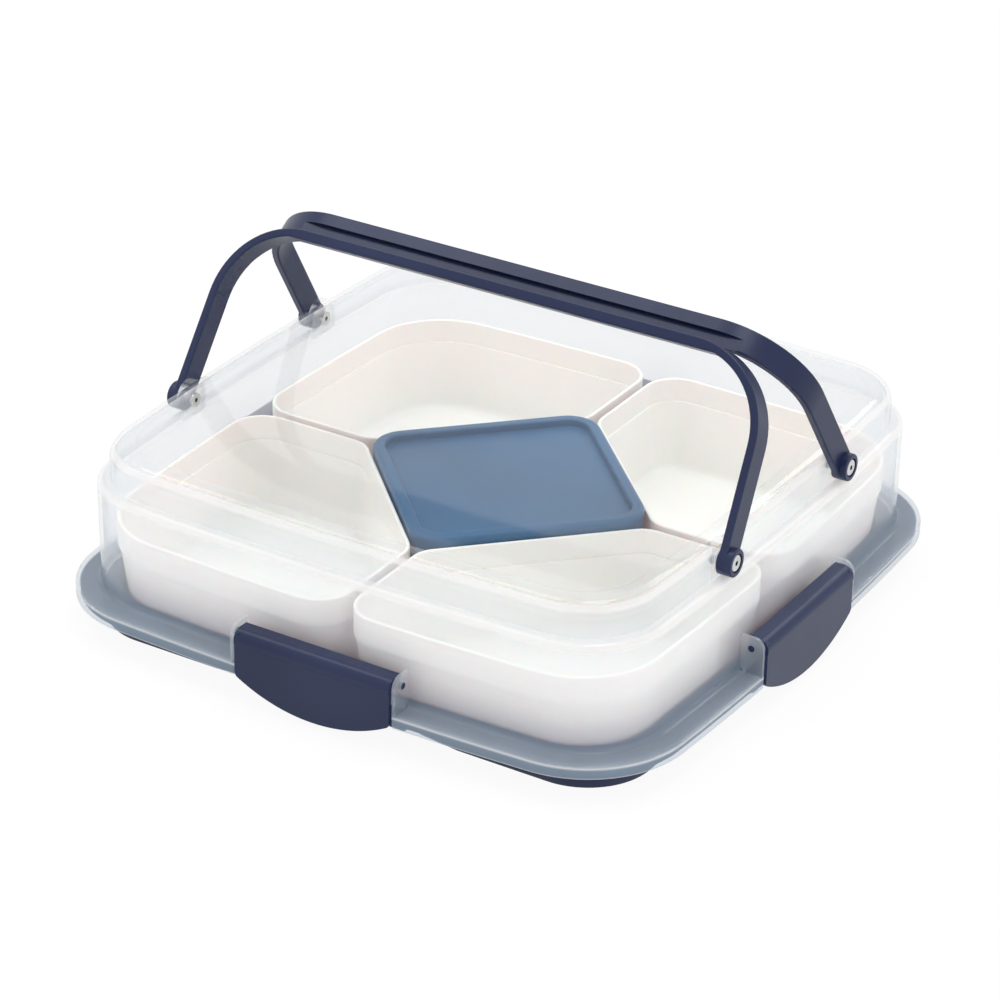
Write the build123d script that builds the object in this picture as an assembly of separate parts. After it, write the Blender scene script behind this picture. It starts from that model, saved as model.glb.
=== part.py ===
import os
from math import asin, atan2, cos, degrees, hypot, radians, sin, sqrt, tan

from build123d import *

# Party food carrier: a square tray with a clear lift-off cover, four side
# latches, two folding carry handles, four corner bowls and a lidded centre cup.
# Millimetres, +Z up, origin at the middle of the face that it stands on.
# The front is -Y and the right side is +X.

# Driving dimensions of the plan
CARRIER_SIDE = 370.0
SIDE_BOW = 7.0
SKIRT_CORNER = 58.5

# Cover
SHEET = 2.1
SKIRT_WALL = 2.0
SKIRT_BOTTOM = 16.0
FLANGE_TOP = 23.0
FLANGE_WIDTH = 13.4
FLANGE_EDGE = 1.6
WALL_CORNER = 46.0
SHOULDER_TOP = 83.0
SHOULDER_STEP = 6.2
SHOULDER_ROUND = 4.0
DOME_CORNER = 42.0
DOME_ROUND = 8.0
COVER_TOP = 102.0
FOOT_ROUND = 3.0
PANEL_MARGIN = 12.8
PANEL_CORNER = 33.0
PANEL_DEPTH = 0.7

# Base tray
BASE_WALL = 2.4
RIM_GAP = 0.5
RIM_LIP = 2.2
RIM_LIP_DROP = 4.4
BASE_WALL_INSET = 19.0
BASE_WALL_CORNER = 40.0
BASE_DRAFT = 4.4
BASE_FOOT_ROUND = 5.0
FOOT_RING_WIDTH = 13.0
FOOT_RING_HEIGHT = 1.2
LUG_MARGIN = 7.0
LUG_DEPTH = 3.6
LUG_DROP = 6.1

# Latches
LATCH_HALF = 47.0
LATCH_PROUD = 0.8
LATCH_WALL = 2.4
LATCH_TOP = 42.4
LATCH_ROUND = 5.6
LATCH_BEAD = 7.2
LATCH_STEP = 0.3
LATCH_SIDE_BOTTOM = 16.6
LATCH_LOWEST = 3.8
LATCH_CORNER = 3.0
LEDGE_DEPTH = 11.2
AXIS_INSET = 7.2
AXIS_HEIGHT = 38.0
BARREL_RADIUS = 3.0
STUB_RADIUS = 1.85
STUB_LENGTH = 3.6
RUNNING_GAP = 0.05
HOOK_HALF = 30.0
HOOK_GAP = 0.5
HOOK_HEIGHT = 2.2
HOOK_REACH = 3.0

# Latch ears on the cover
EAR_GAP = 1.2
EAR_THICK = 2.0
EAR_TOP = 44.2
EAR_ROUND = 6.0
EAR_RING_RADIUS = 3.6
EAR_RING_HEIGHT = 0.5
NOTCH_REACH = 0.9

# Carry handles
PIVOT_Y = 62.0
PIVOT_HEIGHT = 91.2
HANDLE_REACH = 103.4
LEG_FLARE = 3.0
STRAP_WIDTH = 15.0
STRAP_THICK = 4.4
BEND_RADIUS = 48.0
LEG_GAP = 0.7
BEARING_GAP = 0.3
GRIP_DEPTH = 5.8
GRIP_GAP = 0.4
GRIP_ROUND = 1.4
SHELF_WIDTH = 7.4
SHELF_DEPTH = 2.6
BOSS_RADIUS = 7.5
BOSS_HEIGHT = 3.4
COUNTERBORE_RADIUS = 5.1
COUNTERBORE_DEPTH = 1.6
STRAP_EDGE = 0.9

# Pivot ears on the cover and the rivets
PIVOT_PAD = 0.3
PIVOT_EAR_HALF = 9.5
PIVOT_EAR_THICK = 5.0
PIVOT_EAR_RISE = 1.5
RIVET_RADIUS = 2.4
RIVET_BORE = 1.3
RIVET_HEAD = 4.5
RIVET_HEAD_THICK = 1.2
RIVET_CLINCH = 4.0
RIVET_CLINCH_THICK = 1.0
RIVET_SEAT = 0.1
CLINCH_ROOM = 1.0

# Corner bowls
BOWL_RIM = 60.0
BOWL_INSET = 20.5
BOWL_CORNER = 46.0
BOWL_GAP = 5.0
BOWL_WALL = 1.9
BOWL_STEP = 1.0
BOWL_STEP_DROP = 15.6
BOWL_DRAFT = 5.0
BOWL_SIDE_ROUND = 20.0
BOWL_CHAMFER_ROUND = 16.0
BOWL_FOOT_ROUND = 7.0
BOWL_EDGE = 0.8

# Centre cup and its lid
CUP_LID_HALF = 63.5
CUP_LID_CORNER = 18.0
CUP_CLEARANCE = 1.0
CUP_LID_RISE = 5.0
CUP_LID_SHEET = 1.8
CUP_LID_SKIRT = 10.0
CUP_LID_EDGE = 2.6
CUP_LID_RIM_WIDTH = 6.5
CUP_LID_PANEL_DROP = 4.0
CUP_LID_PANEL_EDGE = 1.2
CUP_WALL = 1.9
CUP_FIT = 0.5
CUP_DRAFT = 4.0
CUP_FOOT_ROUND = 8.0
TAB_HALF = 9.0
TAB_GAP = 0.4
TAB_THICK = 1.6

HALF = CARRIER_SIDE / 2
SIDE_RADIUS = ((HALF - SIDE_BOW) ** 2 + SIDE_BOW**2) / (2 * SIDE_BOW)
FLANGE_UNDER = FLANGE_TOP - SHEET
WALL_INSET = FLANGE_WIDTH
DOME_INSET = WALL_INSET + SHOULDER_STEP
TRAY_FLOOR = BASE_WALL + FOOT_RING_HEIGHT
CUP_LID_TOP = BOWL_RIM + CUP_LID_RISE
RIM_INSET = SKIRT_WALL + RIM_GAP
BIG = 3 * CARRIER_SIDE
PAST = 1.0
TOUCH = 1e-4


def turned(point, quarter):
    """A plan point turned by quarter turns about the middle."""
    x, y = point
    for _ in range(quarter % 4):
        x, y = -y, x
    return (x, y)


def bowed_square(inset, corner):
    """Square with gently bowed sides and round corners, inset from the skirt."""
    half = HALF - inset
    side_radius = SIDE_RADIUS - inset
    ahead = side_radius - half
    centre = (-ahead + sqrt(2 * (side_radius - corner) ** 2 - ahead**2)) / 2
    scale = side_radius / (side_radius - corner)
    touch_x = -ahead + (centre + ahead) * scale
    touch_y = centre * scale
    diagonal = centre + corner / sqrt(2)
    edges = []
    for quarter in range(4):
        low = turned((touch_x, -touch_y), quarter)
        middle = turned((half, 0), quarter)
        high = turned((touch_x, touch_y), quarter)
        round_middle = turned((diagonal, diagonal), quarter)
        following = turned((touch_x, -touch_y), quarter + 1)
        edges.append(ThreePointArc(low, middle, high))
        edges.append(ThreePointArc(high, round_middle, following))
    return make_face(edges)


def bowed_block(inset, corner, low, high):
    """Straight block on a bowed square from one height to another."""
    return Pos(0, 0, low) * extrude(bowed_square(inset, corner), amount=high - low)


def edges_at(shape, height):
    """Edges that lie wholly at one height."""
    found = [
        edge
        for edge in shape.edges()
        if abs(edge.bounding_box().min.Z - height) < TOUCH
        and abs(edge.bounding_box().max.Z - height) < TOUCH
    ]
    return ShapeList(found)


def at_side(shape, quarter):
    """A shape made for the front side, carried to another side."""
    return Rot(0, 0, 90 * quarter) * shape


def side_box(half_width, outer, inner, low, high):
    """Box across the middle of the front side between two insets."""
    depth = inner - outer
    middle = -(HALF - (inner + outer) / 2)
    return Pos(0, middle, (low + high) / 2) * Box(2 * half_width, depth, high - low)


def cover_outside():
    flange = bowed_block(0, SKIRT_CORNER, SKIRT_BOTTOM, FLANGE_TOP)
    flange = fillet(edges_at(flange, FLANGE_TOP), FLANGE_EDGE)
    wall = bowed_block(WALL_INSET, WALL_CORNER, FLANGE_UNDER, SHOULDER_TOP)
    wall = fillet(edges_at(wall, SHOULDER_TOP), SHOULDER_ROUND)
    dome = bowed_block(DOME_INSET, DOME_CORNER, SHOULDER_TOP - SHOULDER_ROUND, COVER_TOP)
    dome = fillet(edges_at(dome, COVER_TOP), DOME_ROUND)
    shell = flange + wall
    wall_reach = HALF - WALL_INSET + TOUCH
    foot = [edge for edge in edges_at(shell, FLANGE_TOP) if edge.bounding_box().max.X < wall_reach]
    shell = fillet(foot, FOOT_ROUND)
    return shell + dome


def cover_inside():
    skirt = bowed_block(SKIRT_WALL, SKIRT_CORNER - SKIRT_WALL, SKIRT_BOTTOM - PAST, FLANGE_UNDER)
    wall_top = SHOULDER_TOP - SHEET
    wall = bowed_block(WALL_INSET + SHEET, WALL_CORNER - SHEET, SKIRT_BOTTOM, wall_top)
    wall = fillet(edges_at(wall, wall_top), SHOULDER_ROUND - SHEET)
    dome_top = COVER_TOP - SHEET
    dome = bowed_block(DOME_INSET + SHEET, DOME_CORNER - SHEET, SHOULDER_TOP - 2 * SHEET, dome_top)
    dome = fillet(edges_at(dome, dome_top), DOME_ROUND - SHEET)
    return skirt + wall + dome


def top_panel():
    """Shallow sunk panel in the top of the cover."""
    inset = DOME_INSET + PANEL_MARGIN
    return bowed_block(inset, PANEL_CORNER, COVER_TOP - PANEL_DEPTH, COVER_TOP + PAST)


def latch_notch():
    """Room for a latch, cut out of the flange and skirt."""
    half_width = LATCH_HALF + EAR_GAP
    inner = WALL_INSET - NOTCH_REACH
    return side_box(half_width, -PAST, inner, SKIRT_BOTTOM - PAST, FLANGE_TOP + FOOT_ROUND)


def nearest_corner(face, point):
    """The corner of a flat face that lies nearest a plan point."""
    x, y = point
    return min(face.vertices(), key=lambda v: (v.X - x) ** 2 + (v.Y - y) ** 2)


def outline_face(points, rounds=()):
    """Face inside a closed run of straight lines, with chosen corners rounded."""
    face = make_face(Polyline(*points, close=True))
    for point, radius in rounds:
        face = fillet(nearest_corner(face, point), radius)
    return face


def latch_ear(side):
    """One cheek plate beside a latch, with its round top outer corner and eye."""
    edge_inset = LATCH_HALF**2 / (2 * SIDE_RADIUS)
    outer = -(HALF - edge_inset)
    inner = -(HALF - WALL_INSET - SHEET / 2)
    points = [
        (inner, FLANGE_UNDER),
        (outer + SKIRT_WALL, FLANGE_UNDER),
        (outer + SKIRT_WALL, SKIRT_BOTTOM),
        (outer, SKIRT_BOTTOM),
        (outer, EAR_TOP),
        (inner, EAR_TOP),
    ]
    plate = outline_face(points, [((outer, EAR_TOP), EAR_ROUND)])
    near = LATCH_HALF + EAR_GAP
    ear = Pos(near, 0, 0) * extrude(Plane.YZ * plate, amount=EAR_THICK)
    start = (Align.CENTER, Align.CENTER, Align.MIN)
    along = Pos(near, -(HALF - AXIS_INSET), AXIS_HEIGHT) * Rot(0, 90, 0)
    ear = ear + along * Cylinder(EAR_RING_RADIUS, EAR_THICK + EAR_RING_HEIGHT, align=start)
    ear = ear - along * Cylinder(STUB_RADIUS + RUNNING_GAP, 2 * (EAR_THICK + EAR_RING_HEIGHT + PAST))
    return ear if side > 0 else mirror(ear, about=Plane.YZ)


def dome_x_at_pivot():
    """Outer face of the dome's side wall, level with a handle pivot."""
    return HALF - DOME_INSET - PIVOT_Y**2 / (2 * SIDE_RADIUS)


def pivot_pad_x():
    return dome_x_at_pivot() + PIVOT_PAD


def pivot_ear(side_x, side_y):
    """Rounded boss on the cover that a handle leg turns against."""
    face_x = pivot_pad_x()
    low = SHOULDER_TOP - SHEET / 2
    arc_height = PIVOT_HEIGHT + PIVOT_EAR_RISE
    body = Pos(0, 0, (low + arc_height) / 2) * Box(
        PIVOT_EAR_THICK, 2 * PIVOT_EAR_HALF, arc_height - low
    )
    head = Pos(0, 0, arc_height) * Rot(0, 90, 0) * Cylinder(PIVOT_EAR_HALF, PIVOT_EAR_THICK)
    ear = Pos(face_x - PIVOT_EAR_THICK / 2, PIVOT_Y, 0) * (body + head)
    return place_by_signs(ear, side_x, side_y)


def place_by_signs(shape, side_x, side_y):
    """Mirror a shape made at +X +Y to the wanted corner."""
    if side_x < 0:
        shape = mirror(shape, about=Plane.YZ)
    if side_y < 0:
        shape = mirror(shape, about=Plane.XZ)
    return shape


def pivot_bore(side_x, side_y):
    """Hole through a pivot ear for its rivet."""
    bore = Pos(pivot_pad_x(), PIVOT_Y, PIVOT_HEIGHT) * Rot(0, 90, 0) * Cylinder(
        RIVET_RADIUS + RUNNING_GAP, 2 * (PIVOT_EAR_THICK + PAST)
    )
    return place_by_signs(bore, side_x, side_y)


def clinch_room(side_x, side_y):
    """Flat room inside the cover for the inner end of a rivet."""
    x = pivot_pad_x() - PIVOT_EAR_THICK
    room = Pos(x, PIVOT_Y, PIVOT_HEIGHT) * Rot(0, -90, 0) * Cylinder(
        RIVET_CLINCH + CLINCH_ROOM, PIVOT_EAR_THICK, align=(Align.CENTER, Align.CENTER, Align.MIN)
    )
    return place_by_signs(room, side_x, side_y)


CORNERS = {
    "front_left": (-1, -1),
    "front_right": (1, -1),
    "rear_right": (1, 1),
    "rear_left": (-1, 1),
}


def lid_cover():
    cover = cover_outside() - cover_inside() - top_panel()
    for quarter in range(4):
        cover = cover - at_side(latch_notch(), quarter)
    for quarter in range(4):
        for side in (-1, 1):
            cover = cover + at_side(latch_ear(side), quarter)
    for side_x, side_y in CORNERS.values():
        cover = cover + pivot_ear(side_x, side_y)
        cover = cover - pivot_bore(side_x, side_y) - clinch_room(side_x, side_y)
    return cover


def base_tray():
    rim_corner = SKIRT_CORNER - RIM_INSET
    rim_under = FLANGE_UNDER - BASE_WALL
    rim = bowed_block(RIM_INSET, rim_corner, rim_under, FLANGE_UNDER)
    lip = bowed_block(RIM_INSET, rim_corner, FLANGE_UNDER - RIM_LIP_DROP, FLANGE_UNDER)
    lip = lip - bowed_block(RIM_INSET + RIM_LIP, rim_corner - RIM_LIP, 0, rim_under)
    foot_inset = BASE_WALL_INSET + BASE_DRAFT
    taper = degrees(atan2(BASE_DRAFT, FLANGE_UNDER))
    outside = extrude(bowed_square(foot_inset, BASE_WALL_CORNER), amount=FLANGE_UNDER, taper=-taper)
    outside = fillet(edges_at(outside, 0), BASE_FOOT_ROUND)
    tray = rim + lip + outside
    inner_inset = foot_inset + BASE_WALL
    inner_corner = BASE_WALL_CORNER - BASE_WALL
    inside = extrude(bowed_square(inner_inset, inner_corner), amount=FLANGE_UNDER, taper=-taper)
    inside = fillet(edges_at(inside, 0), BASE_FOOT_ROUND - BASE_WALL)
    tray = tray - Pos(0, 0, TRAY_FLOOR) * inside
    for quarter in range(4):
        tray = tray + at_side(latch_lug(), quarter)
    hollow_inset = foot_inset + FOOT_RING_WIDTH
    hollow_corner = BASE_WALL_CORNER - FOOT_RING_WIDTH
    return tray - bowed_block(hollow_inset, hollow_corner, 0, FOOT_RING_HEIGHT)


def latch_lug():
    """Thickened stretch of the tray's lip that a latch hooks under."""
    half_width = LATCH_HALF + LUG_MARGIN
    outer = RIM_INSET + half_width**2 / (2 * SIDE_RADIUS)
    return side_box(half_width, outer, outer + LUG_DEPTH, lug_bottom(), FLANGE_UNDER)


def lug_bottom():
    return FLANGE_UNDER - LUG_DROP


def latch_section():
    """Side view of a latch: flat front under a slight step, round top corner and flat ledge."""
    front = -(HALF + LATCH_PROUD)
    back = front + LEDGE_DEPTH
    face = front + LATCH_STEP
    bead = LATCH_TOP - LATCH_BEAD
    inside = front + LATCH_WALL
    under = LATCH_TOP - LATCH_WALL
    points = [
        (face, LATCH_LOWEST),
        (face, bead - LATCH_STEP),
        (front, bead),
        (front, LATCH_TOP),
        (back, LATCH_TOP),
        (back, under),
        (inside, under),
        (inside, LATCH_LOWEST),
    ]
    rounds = [((front, LATCH_TOP), LATCH_ROUND), ((inside, under), LATCH_ROUND - LATCH_WALL)]
    return Plane.YZ * outline_face(points, rounds)


def latch_front_view():
    """Front view of a latch: straight top and sides over an arched lower edge."""
    high = LATCH_TOP + PAST
    left = (-LATCH_HALF, LATCH_SIDE_BOTTOM)
    right = (LATCH_HALF, LATCH_SIDE_BOTTOM)
    sides = Polyline(left, (-LATCH_HALF, high), (LATCH_HALF, high), right)
    arch = ThreePointArc(right, (0, LATCH_LOWEST), left)
    face = make_face([*sides.edges(), arch])
    for corner in (left, right):
        face = fillet(nearest_corner(face, corner), LATCH_CORNER)
    return Plane.XZ * face


def latch():
    """One latch as it sits on the front side, closed."""
    strip = extrude(latch_section(), amount=LATCH_HALF, both=True)
    view = Pos(0, LEDGE_DEPTH - HALF, 0) * extrude(latch_front_view(), amount=2 * LEDGE_DEPTH)
    body = strip & view
    axis_y = -(HALF - AXIS_INSET)
    barrel = Pos(0, axis_y, AXIS_HEIGHT) * Rot(0, 90, 0) * Cylinder(BARREL_RADIUS, 2 * LATCH_HALF)
    stubs = Pos(0, axis_y, AXIS_HEIGHT) * Rot(0, 90, 0) * Cylinder(
        STUB_RADIUS, 2 * (LATCH_HALF + STUB_LENGTH)
    )
    cheek_height = LATCH_TOP - LATCH_WALL - AXIS_HEIGHT + BARREL_RADIUS
    body = body + barrel + stubs
    for side in (-1, 1):
        x = side * (LATCH_HALF - LATCH_WALL / 2)
        front = HALF + LATCH_PROUD - LATCH_WALL / 2
        depth = front - (HALF - AXIS_INSET)
        z = LATCH_TOP - (LATCH_WALL + cheek_height) / 2
        cheek = Pos(x, depth / 2 - front, z) * Box(LATCH_WALL, depth, cheek_height)
        body = body + cheek
    hook_top = lug_bottom() - HOOK_GAP
    inner = LATCH_WALL - LATCH_PROUD
    hook = side_box(HOOK_HALF, inner - LATCH_WALL / 2, inner + HOOK_REACH, hook_top - HOOK_HEIGHT, hook_top)
    return body + hook


def handle_lean():
    """Lean of a raised handle from upright, in radians, with its grip against the other."""
    half = STRAP_WIDTH / 2
    reach = hypot(HANDLE_REACH, half)
    return asin((PIVOT_Y - GRIP_GAP / 2) / reach) - atan2(half, HANDLE_REACH)


def handle_plane():
    """Plane of the front handle: X along the pivots, Y up the leaning legs."""
    lean = handle_lean()
    up = Vector(0, sin(lean), cos(lean))
    across = Vector(1, 0, 0)
    return Plane(origin=(0, -PIVOT_Y, PIVOT_HEIGHT), x_dir=across, z_dir=across.cross(up))


def leg_foot_x():
    """Outer face of a handle leg, level with its pivot."""
    return pivot_pad_x() + LEG_GAP + STRAP_THICK


def strap_outline(offset):
    """Outer or inner line of the bent strap, in the handle's own plane."""
    slope = tan(radians(LEG_FLARE))
    reach = HANDLE_REACH - offset
    foot = leg_foot_x() - offset
    drop = 2 * STRAP_WIDTH
    low = (foot + slope * drop, -drop)
    high = (foot - slope * reach, reach)
    return [low, high, (-high[0], high[1]), (-low[0], low[1])]


def strap():
    """The handle's flat strap, bent into its wide upside-down U."""
    outer_line = strap_outline(0)
    inner_line = strap_outline(STRAP_THICK)
    outer = outline_face(outer_line, [(point, BEND_RADIUS) for point in outer_line[1:3]])
    inner_bend = BEND_RADIUS - STRAP_THICK
    inner = outline_face(inner_line, [(point, inner_bend) for point in inner_line[1:3]])
    return extrude(outer - inner, amount=STRAP_WIDTH / 2, both=True)


def grip_half_length():
    """Half length of the strap's straight top, between its two bends."""
    flare = radians(LEG_FLARE)
    corner = leg_foot_x() - tan(flare) * HANDLE_REACH
    return corner - BEND_RADIUS * tan((radians(90) - flare) / 2)


def grip():
    """Deeper underside of the strap's top, flat until it runs into both bends."""
    half = STRAP_WIDTH / 2
    top = HANDLE_REACH - GRIP_DEPTH / 2
    low = HANDLE_REACH - GRIP_DEPTH
    points = [(top, half), (top, -half), (low, -half), (low, half)]
    rounds = [((low, half), GRIP_ROUND), ((low, -half), GRIP_ROUND)]
    inner_bend = BEND_RADIUS - STRAP_THICK
    run_in = sqrt(inner_bend**2 - (inner_bend + STRAP_THICK - GRIP_DEPTH) ** 2)
    length = grip_half_length() + run_in
    return extrude(Plane.YZ * outline_face(points, rounds), amount=length, both=True)


def grip_shelf():
    """Sunk shelf along the inner half of the strap's top, which runs out through both bends."""
    length = 2 * (grip_half_length() + BEND_RADIUS)
    width = SHELF_WIDTH + PAST
    block = Box(length, SHELF_DEPTH + PAST, width)
    middle = HANDLE_REACH - SHELF_DEPTH + (SHELF_DEPTH + PAST) / 2
    return Pos(0, middle, width / 2 - STRAP_WIDTH / 2 - PAST) * block


def leg_foot():
    """Everything above the pivots, with a round foot about them."""
    radius = STRAP_WIDTH / 2
    disc = Rot(0, 90, 0) * Cylinder(radius, BIG)
    above = Pos(0, HANDLE_REACH, 0) * Box(BIG, 2 * HANDLE_REACH, 2 * radius)
    return disc + above


def boss(side):
    """Round boss at a leg's foot, with a counterbore outside and a bearing pad inside."""
    inner = pivot_pad_x() + BEARING_GAP
    outer = leg_foot_x() + BOSS_HEIGHT
    low = (Align.CENTER, Align.CENTER, Align.MIN)
    high = (Align.CENTER, Align.CENTER, Align.MAX)
    pad = Pos(inner, 0, 0) * Rot(0, 90, 0) * Cylinder(STRAP_WIDTH / 2, STRAP_THICK, align=low)
    height = BOSS_HEIGHT + STRAP_THICK / 2
    drum = Pos(outer, 0, 0) * Rot(0, 90, 0) * Cylinder(BOSS_RADIUS, height, align=high)
    drum = fillet(drum.edges().sort_by(Axis.X)[-1], STRAP_EDGE)
    solid = pad + drum
    return solid if side > 0 else mirror(solid, about=Plane.YZ)


def boss_holes(side):
    """Running hole for a rivet and the counterbore for its head."""
    outer = leg_foot_x() + BOSS_HEIGHT
    length = 2 * (outer - pivot_pad_x() + PAST)
    high = (Align.CENTER, Align.CENTER, Align.MAX)
    bore = Cylinder(RIVET_RADIUS + RUNNING_GAP, length)
    well = Cylinder(COUNTERBORE_RADIUS, COUNTERBORE_DEPTH, align=high)
    solid = Pos(outer, 0, 0) * Rot(0, 90, 0) * (bore + well)
    return solid if side > 0 else mirror(solid, about=Plane.YZ)


def carry_handle():
    """The front handle in its own plane, before it is leaned in place."""
    band = strap()
    half = STRAP_WIDTH / 2
    rims = [edge for edge in band.edges() if abs(abs(edge.center().Z) - half) < TOUCH]
    band = fillet(rims, STRAP_EDGE)
    handle = (band & leg_foot()) + grip() - grip_shelf()
    for side in (-1, 1):
        handle = handle + boss(side)
    for side in (-1, 1):
        handle = handle - boss_holes(side)
    return handle_plane().location * handle


def pivot_rivet(side_x, side_y):
    """Hollow rivet that a handle leg turns on, clinched inside the cover."""
    head_seat = leg_foot_x() + BOSS_HEIGHT - COUNTERBORE_DEPTH + RIVET_SEAT
    clinch_seat = pivot_pad_x() - PIVOT_EAR_THICK
    low = (Align.CENTER, Align.CENTER, Align.MIN)
    high = (Align.CENTER, Align.CENTER, Align.MAX)
    grip_length = head_seat - clinch_seat
    head = Cylinder(RIVET_HEAD, RIVET_HEAD_THICK, align=low)
    head = fillet(head.edges().sort_by(Axis.Z)[-1], RIVET_HEAD_THICK / 2)
    shank = Cylinder(RIVET_RADIUS, grip_length, align=high)
    clinch = Pos(0, 0, -grip_length) * Cylinder(RIVET_CLINCH, RIVET_CLINCH_THICK, align=high)
    bore = Cylinder(RIVET_BORE, 2 * (grip_length + RIVET_CLINCH_THICK + PAST))
    turned_rivet = Rot(0, 90, 0) * (head + shank + clinch - bore)
    rivet = Pos(head_seat, PIVOT_Y, PIVOT_HEIGHT) * turned_rivet
    return place_by_signs(rivet, side_x, side_y)


def bowl_outline():
    """Plan of the rear right bowl at its rim."""
    corner = (Align.MIN, Align.MIN)
    quarter = Pos(BOWL_GAP / 2, BOWL_GAP / 2, 0) * Rectangle(BIG, BIG, align=corner)
    reach = CUP_LID_HALF + CUP_CLEARANCE
    middle = Rot(0, 0, 45) * Rectangle(2 * reach, 2 * reach)
    face = (bowed_square(BOWL_INSET, BOWL_CORNER) & quarter) - middle
    by_reach = face.vertices().sort_by(lambda v: v.X + v.Y)
    face = fillet(by_reach[:2], BOWL_CHAMFER_ROUND)
    near_sides = [v for v in face.vertices() if is_bowl_side_corner(v)]
    return fillet(near_sides, BOWL_SIDE_ROUND)


def is_bowl_side_corner(vertex):
    """True at the two corners where a bowl's straight inner sides meet its outer sides."""
    near = min(vertex.X, vertex.Y) < BOWL_GAP / 2 + TOUCH
    far = max(vertex.X, vertex.Y) > HALF - BOWL_INSET - SIDE_BOW
    return near and far


def drafted(face, low, high, shrink):
    """Block that stands on a shrunken copy of a face and grows to the face at its top."""
    height = high - low
    taper = degrees(atan2(shrink, height))
    foot = offset(face, amount=-shrink, kind=Kind.INTERSECTION)
    return Pos(0, 0, low) * extrude(foot, amount=height, taper=-taper)


def bowl(side_x, side_y):
    """Corner bowl: a drafted body, a stacking step and a plain rim."""
    rim_face = bowl_outline()
    body_face = offset(rim_face, amount=-BOWL_STEP)
    step_height = BOWL_RIM - BOWL_STEP_DROP
    outside = drafted(body_face, TRAY_FLOOR, step_height, BOWL_DRAFT)
    outside = fillet(edges_at(outside, TRAY_FLOOR), BOWL_FOOT_ROUND)
    outside = outside + Pos(0, 0, step_height) * extrude(rim_face, amount=BOWL_STEP_DROP)
    inner_rim = offset(rim_face, amount=-BOWL_WALL)
    inner_body = offset(rim_face, amount=-BOWL_STEP - BOWL_WALL)
    inner_floor = TRAY_FLOOR + BOWL_WALL
    inner_step = step_height + BOWL_WALL
    inside = drafted(inner_body, inner_floor, inner_step, BOWL_DRAFT)
    inside = fillet(edges_at(inside, inner_floor), BOWL_FOOT_ROUND - BOWL_WALL)
    inside = inside + Pos(0, 0, inner_step) * extrude(inner_rim, amount=BOWL_STEP_DROP)
    shell = outside - inside
    shell = fillet(edges_at(shell, BOWL_RIM), BOWL_EDGE)
    return place_by_signs(shell, side_x, side_y)


def turned_square(half, corner):
    """Square plan turned 45 degrees, with round corners."""
    return Rot(0, 0, 45) * RectangleRounded(2 * half, 2 * half, corner)


def cup_rim_half():
    return CUP_LID_HALF - CUP_LID_SHEET - CUP_FIT


def cup_lid_under():
    """Underside of the lid's raised border, where the cup's rim seats."""
    return CUP_LID_TOP - CUP_LID_SHEET


def dip_cup():
    half = cup_rim_half()
    corner = CUP_LID_CORNER - CUP_LID_SHEET - CUP_FIT
    rim = cup_lid_under()
    outside = drafted(turned_square(half, corner), TRAY_FLOOR, rim, CUP_DRAFT)
    outside = fillet(edges_at(outside, TRAY_FLOOR), CUP_FOOT_ROUND)
    inner = turned_square(half - CUP_WALL, corner - CUP_WALL)
    inner_floor = TRAY_FLOOR + CUP_WALL
    inside = drafted(inner, inner_floor, rim, CUP_DRAFT)
    inside = fillet(edges_at(inside, inner_floor), CUP_FOOT_ROUND - CUP_WALL)
    return outside - inside


def square_block(inset, low, high):
    """Block on the cup lid's outline, inset by a distance."""
    plan = turned_square(CUP_LID_HALF - inset, CUP_LID_CORNER - inset)
    return Pos(0, 0, low) * extrude(plan, amount=high - low)


def dip_cup_lid():
    """Snap lid: a raised round border that caps the cup's rim, round a sunk panel with a tab."""
    low = CUP_LID_TOP - CUP_LID_SKIRT
    panel_top = CUP_LID_TOP - CUP_LID_PANEL_DROP
    panel_under = panel_top - CUP_LID_SHEET
    cover = square_block(0, low, CUP_LID_TOP)
    cover = fillet(edges_at(cover, CUP_LID_TOP), CUP_LID_EDGE)
    plug_inset = CUP_LID_RIM_WIDTH - CUP_LID_SHEET
    room = square_block(CUP_LID_SHEET, low, cup_lid_under())
    room = room - square_block(plug_inset, panel_under, cup_lid_under())
    cover = cover - room - square_block(CUP_LID_RIM_WIDTH, panel_top, CUP_LID_TOP)
    border_face = cover.faces().sort_by(Axis.Z)[-1]
    cover = fillet(border_face.inner_wires()[0].edges(), CUP_LID_PANEL_EDGE)
    tab_depth = CUP_CLEARANCE - TAB_GAP + CUP_LID_SHEET
    tab_plan = Rectangle(2 * TAB_HALF, tab_depth, align=(Align.CENTER, Align.MIN))
    tab = Pos(0, CUP_LID_HALF - CUP_LID_SHEET, low) * extrude(tab_plan, amount=TAB_THICK)
    return cover + Rot(0, 0, 45) * tab


def save(shape, name):
    export_step(shape, f"parts/{name}.step")


def main():
    os.makedirs("parts", exist_ok=True)
    save(base_tray(), "base_tray")
    save(lid_cover(), "lid_cover")
    one_latch = latch()
    for quarter, place in enumerate(("front", "right", "rear", "left")):
        save(at_side(one_latch, quarter), f"latch_{place}")
    handle = carry_handle()
    save(handle, "handle_front")
    save(mirror(handle, about=Plane.XZ), "handle_rear")
    for place, signs in CORNERS.items():
        save(pivot_rivet(*signs), f"rivet_{place}")
        save(bowl(*signs), f"bowl_{place}")
    save(dip_cup(), "dip_cup")
    save(dip_cup_lid(), "dip_cup_lid")


main()
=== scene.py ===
from math import cos, radians, sin

import bmesh
import bpy
from mathutils import Matrix, Vector


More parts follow.
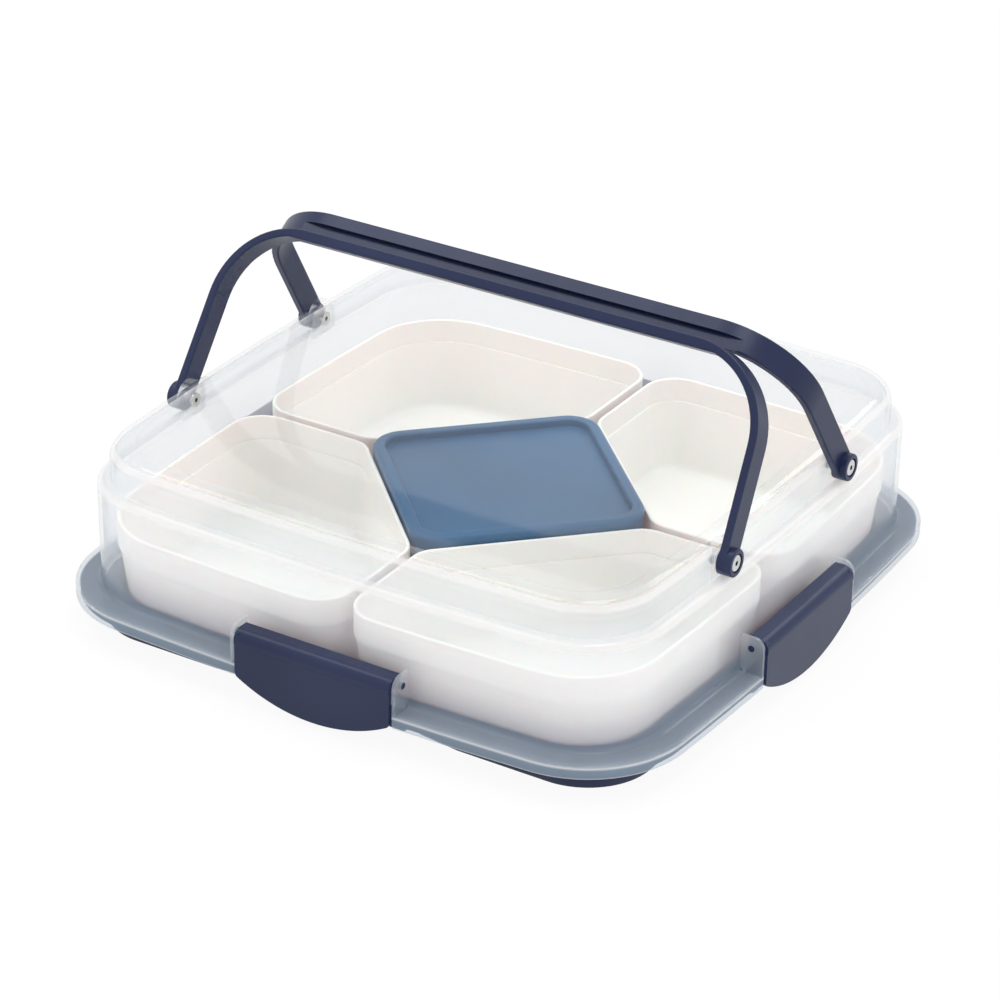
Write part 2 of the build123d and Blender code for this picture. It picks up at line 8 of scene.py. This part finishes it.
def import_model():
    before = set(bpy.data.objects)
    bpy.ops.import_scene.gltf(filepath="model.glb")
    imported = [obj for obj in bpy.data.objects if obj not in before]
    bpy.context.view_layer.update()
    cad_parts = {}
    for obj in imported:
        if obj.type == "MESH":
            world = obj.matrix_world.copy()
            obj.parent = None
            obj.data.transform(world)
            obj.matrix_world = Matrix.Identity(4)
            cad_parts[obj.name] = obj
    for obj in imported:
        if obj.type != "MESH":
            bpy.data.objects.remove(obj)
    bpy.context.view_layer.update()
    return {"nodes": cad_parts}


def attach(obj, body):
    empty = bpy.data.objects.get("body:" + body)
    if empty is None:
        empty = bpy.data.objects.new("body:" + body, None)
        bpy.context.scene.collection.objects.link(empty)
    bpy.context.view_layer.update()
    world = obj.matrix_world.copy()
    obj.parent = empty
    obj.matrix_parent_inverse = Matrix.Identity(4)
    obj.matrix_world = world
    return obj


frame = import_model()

NODES = frame["nodes"]

# Camera at the photograph's viewing angle: distances in metres, the rest in pixels of its frame
IMAGE_WIDTH = 1000.0
AZIMUTH = radians(31.53)
ELEVATION = radians(28.70)
ROLL = radians(0.867)
DISTANCE = 2.0094
AIM_HEIGHT = 0.016
FOCAL_PIXELS = 3712.8
CONTENT_RIGHT = 5.59
CONTENT_DOWN = 54.18
SENSOR_MM = 36.0

# Linear colours
NAVY = (0.011, 0.018, 0.058)
NAVY_LIGHT = (0.018, 0.027, 0.074)
BASE_NAVY = (0.012, 0.022, 0.056)
BOWL_WHITE = (0.92, 0.895, 0.865)
BOWL_SHADE = (0.90, 0.875, 0.845)
LID_BLUE = (0.020, 0.092, 0.205)
LID_BLUE_PALE = (0.032, 0.124, 0.252)
HAZE_GREY = (0.53, 0.68, 0.84)
HAZE_WHITE = (0.97, 0.975, 0.98)
STEEL_DULL = (0.58, 0.58, 0.59)
STEEL = (0.66, 0.66, 0.67)
FLOOR_WHITE = (0.9, 0.9, 0.9)
WHITE = (1.0, 1.0, 1.0)

# Moulded plastic: how it bends light, how far light spreads in it, and the sizes of its patterns
PLASTIC_IOR = 1.49
PLASTIC_SPREAD = 0.004
FLOW_SCALE = 9.0
FLOW_EDGES = (0.32, 0.68)
SHEEN_SCALE = 60.0

# Rivet metal: sizes of its patterns, their edges, its roughness and the depth of its turning marks
STEEL_TONE_SCALE = 180.0
STEEL_TONE_EDGES = (0.3, 0.7)
STEEL_SHEEN_SCALE = 400.0
STEEL_ROUGHNESS = (0.16, 0.34)
STEEL_MARK_SCALE = 900.0
STEEL_MARK_DEPTH = 0.00004

# Cover's sheet: share of its haze that light passes through, haze added at a glancing angle and by
# faint clouds, and the gloss of its slightly rippled skin
HAZE_THROUGH = 0.5
GLANCING_BLEND = 0.30
GLANCING_POWER = 4.0
GLANCING_HAZE = 0.55
CLOUD_SCALE = 22.0
CLOUD_HAZE = 0.015
SKIN_IOR = 1.38
SKIN_ROUGHNESS = 0.07
RIPPLE_SCALE = 14.0
RIPPLE_DEPTH = 0.00025

# How the cover's haze runs with height, where the narrow bands of dense, fully white haze at its
# rounded edges are painted highlight lines and the other rows give the sheet's own milkiness:
# height in metres, share of haze, share of white in the haze
COVER_HEIGHT = 0.11
COVER_HAZE_AND_EDGE_HIGHLIGHTS = (
    (0.0160, 0.90, 1.0),
    (0.0166, 0.46, 0.0),
    (0.0207, 0.46, 0.0),
    (0.0219, 0.90, 1.0),
    (0.0229, 0.50, 0.2),
    (0.0245, 0.42, 0.1),
    (0.0290, 0.40, 0.2),
    (0.0420, 0.40, 0.6),
    (0.0700, 0.44, 0.75),
    (0.0785, 0.40, 0.7),
    (0.0805, 0.80, 1.0),
    (0.0824, 0.85, 1.0),
    (0.0838, 0.42, 0.6),
    (0.0930, 0.36, 0.6),
    (0.0962, 0.42, 0.7),
    (0.0980, 0.80, 1.0),
    (0.1000, 0.70, 1.0),
    (0.1008, 0.15, 0.7),
    (0.1014, 0.0, 0.4),
    (0.1021, 0.25, 0.8),
)
HAZE_AND_HIGHLIGHT_COLUMN = 1
WHITE_COLUMN = 2

# Full corners of the tray's foot: half width, corner radius, where a strip leaves the tray's wall
# and how deep it is sunk there, where it is full, and its section as inset and height
FOOT_HALF = 0.1645
FOOT_CORNER = 0.038
FOOT_LEAVES_WALL = 0.050
FOOT_SUNK = 0.003
FOOT_START = 0.074
FOOT_STEPS = 20
FOOT_PROFILE = (
    (-0.0012, 0.0184),
    (0.0010, 0.0184),
    (0.0022, 0.0030),
    (0.0080, 0.0030),
    (0.0080, 0.0006),
    (0.0018, 0.0006),
    (0.0005, 0.0011),
    (0.0000, 0.0024),
)
SHARP_EDGE = radians(40)

# Floor and ambience. The glow is the share of plain white in what is seen of the floor.
FLOOR_SIDE = 6.0
FLOOR_GLOW = 0.93
AMBIENCE = 0.85

# Soft lamps: name, place, width and height in metres, power in watts
LAMPS = (
    ("overhead", (0.25, 0.1, 1.8), (0.9, 0.5), 8.0),
    ("upper left", (-0.85, -0.05, 1.7), (0.5, 0.9), 5.0),
    ("behind", (0.2, 1.8, 1.5), (1.2, 0.5), 6.0),
    ("left fill", (-1.6, -0.9, 0.9), (0.6, 1.2), 3.0),
    ("right fill", (1.5, -0.5, 0.8), (0.5, 1.0), 2.0),
)
LAMP_AIM = (0, 0, 0.06)


def with_alpha(colour):
    """The colour as a shader socket takes it."""
    return (*colour, 1.0)


def new_material(name):
    """Empty node material: the material, its node tree and the socket for its surface."""
    material = bpy.data.materials.new(name)
    material.use_nodes = True
    tree = material.node_tree
    tree.nodes.clear()
    return material, tree, tree.nodes.new("ShaderNodeOutputMaterial").inputs["Surface"]


def add(tree, kind, **inputs):
    """New shader node with some of its inputs set to numbers or colours."""
    node = tree.nodes.new(kind)
    for name, value in inputs.items():
        node.inputs[name.replace("_", " ")].default_value = value
    return node


def feed(tree, value, socket):
    """Give a socket its value, a number or another node's output."""
    if isinstance(value, float):
        socket.default_value = value
    else:
        tree.links.new(value, socket)


def place_on_piece(tree):
    """Coordinates that follow the piece, in metres."""
    return tree.nodes.new("ShaderNodeTexCoord").outputs["Object"]


def noise(tree, scale, detail=3.0):
    """Noise pattern that follows the piece."""
    pattern = add(tree, "ShaderNodeTexNoise", Scale=scale, Detail=detail)
    tree.links.new(place_on_piece(tree), pattern.inputs["Vector"])
    return pattern.outputs["Fac"]


def ramp(tree, value, edges, first, second):
    """Map a value between two edges onto a blend of two colours."""
    ramp_node = tree.nodes.new("ShaderNodeValToRGB")
    for stop, position, colour in zip(ramp_node.color_ramp.elements, edges, (first, second)):
        stop.position = position
        stop.color = with_alpha(colour)
    tree.links.new(value, ramp_node.inputs["Fac"])
    return ramp_node.outputs["Color"]


def remap(tree, value, low, high):
    """Map a 0 to 1 value onto a narrower range."""
    map_node = add(tree, "ShaderNodeMapRange", To_Min=low, To_Max=high)
    tree.links.new(value, map_node.inputs["Value"])
    return map_node.outputs["Result"]


def arithmetic(tree, operation, first, second):
    """Result of a sum on two values, each a number or a node's output, kept within 0 to 1."""
    node = tree.nodes.new("ShaderNodeMath")
    node.operation = operation
    node.use_clamp = True
    feed(tree, first, node.inputs[0])
    feed(tree, second, node.inputs[1])
    return node.outputs["Value"]


def mix_surfaces(tree, share, first, second):
    """Blend of two shader nodes, by the second one's share."""
    mix = tree.nodes.new("ShaderNodeMixShader")
    feed(tree, share, mix.inputs["Fac"])
    tree.links.new(first.outputs[0], mix.inputs[1])
    tree.links.new(second.outputs[0], mix.inputs[2])
    return mix


def bump(tree, height, distance):
    """Normal that follows a height pattern, with its depth in metres."""
    bump_node = add(tree, "ShaderNodeBump", Distance=distance, Strength=1.0)
    tree.links.new(height, bump_node.inputs["Height"])
    return bump_node.outputs["Normal"]


def by_height(tree, column):
    """A column of COVER_HAZE_AND_EDGE_HIGHLIGHTS, read at the surface's height on the cover."""
    split = tree.nodes.new("ShaderNodeSeparateXYZ")
    tree.links.new(place_on_piece(tree), split.inputs["Vector"])
    height = arithmetic(tree, "DIVIDE", split.outputs["Z"], COVER_HEIGHT)
    ramp_node = tree.nodes.new("ShaderNodeValToRGB")
    stops = ramp_node.color_ramp.elements
    stops[0].color = with_alpha((COVER_HAZE_AND_EDGE_HIGHLIGHTS[0][column],) * 3)
    stops[1].color = with_alpha((COVER_HAZE_AND_EDGE_HIGHLIGHTS[-1][column],) * 3)
    for row in COVER_HAZE_AND_EDGE_HIGHLIGHTS:
        stops.new(row[0] / COVER_HEIGHT).color = with_alpha((row[column],) * 3)
    tree.links.new(height, ramp_node.inputs["Fac"])
    return ramp_node.outputs["Color"]


def moulded_plastic(name, colours, roughness, grain, grain_depth, gloss, subsurface=0.0):
    """Opaque moulded plastic: faint flow marks, uneven sheen and a fine spark grain."""
    material, tree, surface = new_material(name)
    shader = add(
        tree,
        "ShaderNodeBsdfPrincipled",
        IOR=PLASTIC_IOR,
        Specular_IOR_Level=gloss,
        Subsurface_Weight=subsurface,
        Subsurface_Scale=PLASTIC_SPREAD,
    )
    flow = noise(tree, FLOW_SCALE, detail=2.0)
    tree.links.new(ramp(tree, flow, FLOW_EDGES, *colours), shader.inputs["Base Color"])
    sheen = noise(tree, SHEEN_SCALE, detail=4.0)
    tree.links.new(remap(tree, sheen, *roughness), shader.inputs["Roughness"])
    spark = noise(tree, grain, detail=2.0)
    tree.links.new(bump(tree, spark, grain_depth), shader.inputs["Normal"])
    tree.links.new(shader.outputs["BSDF"], surface)
    return material


def rolled_steel():
    """Bright rivet metal with faint turning marks."""
    material, tree, surface = new_material("rivet metal")
    shader = add(tree, "ShaderNodeBsdfPrincipled", Metallic=1.0)
    tone = noise(tree, STEEL_TONE_SCALE, detail=4.0)
    colour = ramp(tree, tone, STEEL_TONE_EDGES, STEEL_DULL, STEEL)
    tree.links.new(colour, shader.inputs["Base Color"])
    sheen = remap(tree, noise(tree, STEEL_SHEEN_SCALE), *STEEL_ROUGHNESS)
    tree.links.new(sheen, shader.inputs["Roughness"])
    marks = bump(tree, noise(tree, STEEL_MARK_SCALE), STEEL_MARK_DEPTH)
    tree.links.new(marks, shader.inputs["Normal"])
    tree.links.new(shader.outputs["BSDF"], surface)
    return material


def outer_face_in_view(tree):
    """1 on the cover's outer faces, and 0 on inner faces and for light on its way to the bowls."""
    geometry = tree.nodes.new("ShaderNodeNewGeometry")
    path = tree.nodes.new("ShaderNodeLightPath")
    outside = arithmetic(tree, "SUBTRACT", 1.0, geometry.outputs["Backfacing"])
    lighting = arithmetic(
        tree, "MAXIMUM", path.outputs["Is Shadow Ray"], path.outputs["Is Diffuse Ray"]
    )
    return arithmetic(tree, "MULTIPLY", arithmetic(tree, "SUBTRACT", 1.0, lighting), outside)


def haze_and_edge_highlights(tree):
    """Share of haze in the cover: by height, with painted highlight lines as dense white bands at
    the rounded edges, by faint clouds, and more at a glancing angle.
    """
    facing = add(tree, "ShaderNodeLayerWeight", Blend=GLANCING_BLEND).outputs["Facing"]
    glancing = arithmetic(tree, "POWER", facing, GLANCING_POWER)
    uneven = arithmetic(
        tree,
        "ADD",
        remap(tree, glancing, 0.0, GLANCING_HAZE),
        remap(tree, noise(tree, CLOUD_SCALE), 0.0, CLOUD_HAZE),
    )
    return arithmetic(tree, "ADD", uneven, by_height(tree, HAZE_AND_HIGHLIGHT_COLUMN))


def frosted_cover():
    """Natural polypropylene sheet: partly clear, milkier along its edges, where bands of white haze
    paint highlight lines, with a glossy skin.
    """
    material, tree, surface = new_material("frosted cover")
    lit = tree.nodes.new("ShaderNodeBsdfDiffuse")
    passed = tree.nodes.new("ShaderNodeBsdfTranslucent")
    # Full white at the heights of the rounded edges: painted highlight lines
    whiteness = by_height(tree, WHITE_COLUMN)
    tone = ramp(tree, whiteness, (0.0, 1.0), HAZE_GREY, HAZE_WHITE)
    tree.links.new(tone, lit.inputs["Color"])
    tree.links.new(tone, passed.inputs["Color"])
    haze = mix_surfaces(tree, HAZE_THROUGH, lit, passed)
    in_view = outer_face_in_view(tree)
    clear = tree.nodes.new("ShaderNodeBsdfTransparent")
    milkiness_and_highlights = arithmetic(tree, "MULTIPLY", haze_and_edge_highlights(tree), in_view)
    milky = mix_surfaces(tree, milkiness_and_highlights, clear, haze)
    skin = add(tree, "ShaderNodeBsdfGlossy", Roughness=SKIN_ROUGHNESS)
    ripple = bump(tree, noise(tree, RIPPLE_SCALE, detail=2.0), RIPPLE_DEPTH)
    tree.links.new(ripple, skin.inputs["Normal"])
    mirror = add(tree, "ShaderNodeFresnel", IOR=SKIN_IOR).outputs["Fac"]
    shine = arithmetic(tree, "MULTIPLY", mirror, in_view)
    tree.links.new(mix_surfaces(tree, shine, milky, skin).outputs["Shader"], surface)
    return material


def paint_nodes(tray):
    """Give every CAD node its detailed material, chosen by the start of its name."""
    navy = moulded_plastic(
        "navy plastic",
        (NAVY, NAVY_LIGHT),
        (0.27, 0.37),
        grain=1800.0,
        grain_depth=0.00003,
        gloss=0.28,
    )
    white = moulded_plastic(
        "bowl plastic",
        (BOWL_SHADE, BOWL_WHITE),
        (0.30, 0.38),
        grain=900.0,
        grain_depth=0.00002,
        gloss=0.4,
        subsurface=0.35,
    )
    blue = moulded_plastic(
        "cup lid plastic",
        (LID_BLUE, LID_BLUE_PALE),
        (0.30, 0.42),
        grain=700.0,
        grain_depth=0.00004,
        gloss=0.35,
        subsurface=0.1,
    )
    materials = {
        "lid_cover": frosted_cover(),
        "base_tray": tray,
        "dip_cup_lid": blue,
        "dip_cup": white,
        "bowl": white,
        "rivet": rolled_steel(),
        "latch": navy,
        "handle": navy,
    }
    for name, node in NODES.items():
        start = next(start for start in materials if name.startswith(start))
        for material_slot in node.material_slots:
            material_slot.link = "OBJECT"
            material_slot.material = materials[start]


def foot_corner_line(inset, height, quarter):
    """One corner of the tray's foot at a height, from side to side, as points."""
    half = FOOT_HALF - inset
    radius = FOOT_CORNER - inset
    centre = half - radius
    line = [(FOOT_LEAVES_WALL, half - FOOT_SUNK), (FOOT_START, half)]
    for step in range(FOOT_STEPS + 1):
        angle = radians(90 - 90 * step / FOOT_STEPS)
        line.append((centre + radius * cos(angle), centre + radius * sin(angle)))
    line += [(half, FOOT_START), (half - FOOT_SUNK, FOOT_LEAVES_WALL)]
    turn = Matrix.Rotation(radians(90 * quarter), 3, "Z")
    return [turn @ Vector((x, y, height)) for x, y in line]


def foot_corners(material):
    """Full corners of the tray's foot, which bulge past its bowed wall."""
    shape = bmesh.new()
    for quarter in range(4):
        rows = [
            [shape.verts.new(point) for point in foot_corner_line(inset, height, quarter)]
            for inset, height in FOOT_PROFILE
        ]
        for low, high in zip(rows, rows[1:] + rows[:1]):
            for column in range(len(low) - 1):
                corners = (low[column], low[column + 1], high[column + 1], high[column])
                shape.faces.new(corners)
        for end in (0, -1):
            shape.faces.new([row[end] for row in rows])
    bmesh.ops.recalc_face_normals(shape, faces=shape.faces)
    mesh = bpy.data.meshes.new("tray_foot_corners")
    shape.to_mesh(mesh)
    shape.free()
    mesh.shade_smooth()
    mesh.set_sharp_from_angle(angle=SHARP_EDGE)
    mesh.materials.append(material)
    piece = bpy.data.objects.new("tray_foot_corners", mesh)
    bpy.context.scene.collection.objects.link(piece)
    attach(piece, "base")


def is_seen_directly(tree):
    """1 for camera, glossy and transmission rays, so that they see a white background."""
    path = tree.nodes.new("ShaderNodeLightPath")
    first = arithmetic(
        tree, "MAXIMUM", path.outputs["Is Camera Ray"], path.outputs["Is Glossy Ray"]
    )
    return arithmetic(tree, "MAXIMUM", first, path.outputs["Is Transmission Ray"])


def floor():
    """Pale floor that reads white and keeps a faint contact shadow."""
    half = FLOOR_SIDE / 2
    mesh = bpy.data.meshes.new("floor")
    corners = [(-half, -half, 0), (half, -half, 0), (half, half, 0), (-half, half, 0)]
    mesh.from_pydata(corners, [], [(0, 1, 2, 3)])
    floor_object = bpy.data.objects.new("floor", mesh)
    bpy.context.scene.collection.objects.link(floor_object)
    material, tree, surface = new_material("floor")
    matt = add(tree, "ShaderNodeBsdfDiffuse", Color=with_alpha(FLOOR_WHITE))
    glow = add(tree, "ShaderNodeEmission", Strength=1.0)
    share = arithmetic(tree, "MULTIPLY", is_seen_directly(tree), FLOOR_GLOW)
    tree.links.new(mix_surfaces(tree, share, matt, glow).outputs["Shader"], surface)
    mesh.materials.append(material)


def world():
    """Even studio ambience, white where it is seen."""
    sky = bpy.data.worlds.new("studio")
    bpy.context.scene.world = sky
    sky.use_nodes = True
    tree = sky.node_tree
    tree.nodes.clear()
    output = tree.nodes.new("ShaderNodeOutputWorld")
    ambience = add(tree, "ShaderNodeBackground", Color=with_alpha(WHITE), Strength=AMBIENCE)
    seen = add(tree, "ShaderNodeBackground", Color=with_alpha(WHITE), Strength=1.0)
    mix = mix_surfaces(tree, is_seen_directly(tree), ambience, seen)
    tree.links.new(mix.outputs["Shader"], output.inputs["Surface"])


def lights():
    """Soft area lamps that face the middle of the carrier."""
    for name, place, size, watts in LAMPS:
        lamp = bpy.data.lights.new(name, "AREA")
        lamp.shape = "RECTANGLE"
        lamp.size, lamp.size_y = size
        lamp.energy = watts
        lamp_object = bpy.data.objects.new(name, lamp)
        lamp_object.location = place
        towards = Vector(LAMP_AIM) - Vector(place)
        lamp_object.rotation_euler = towards.to_track_quat("-Z", "Y").to_euler()
        bpy.context.scene.collection.objects.link(lamp_object)


def camera():
    """Camera fitted to the photograph's outline of the carrier."""
    level = cos(ELEVATION)
    back = Vector((sin(AZIMUTH) * level, -cos(AZIMUTH) * level, sin(ELEVATION)))
    right = Vector((0, 0, 1)).cross(back).normalized()
    up = back.cross(right)
    rolled_right = cos(ROLL) * right + sin(ROLL) * up
    rolled_up = cos(ROLL) * up - sin(ROLL) * right
    place = Vector((0, 0, AIM_HEIGHT)) + DISTANCE * back
    lens = bpy.data.cameras.new("camera")
    lens.sensor_width = SENSOR_MM
    lens.lens = FOCAL_PIXELS * SENSOR_MM / IMAGE_WIDTH
    lens.shift_x = -CONTENT_RIGHT / IMAGE_WIDTH
    lens.shift_y = CONTENT_DOWN / IMAGE_WIDTH
    view = bpy.data.objects.new("camera", lens)
    turn = Matrix((rolled_right, rolled_up, back)).transposed()
    view.matrix_world = Matrix.Translation(place) @ turn.to_4x4()
    bpy.context.scene.collection.objects.link(view)
    bpy.context.scene.camera = view


bpy.context.scene.view_settings.view_transform = "Standard"
tray_plastic = moulded_plastic(
    "tray plastic",
    (BASE_NAVY, NAVY_LIGHT),
    (0.37, 0.47),
    grain=1500.0,
    grain_depth=0.00003,
    gloss=0.3,
)
foot_corners(tray_plastic)
paint_nodes(tray_plastic)
floor()
world()
lights()
camera()
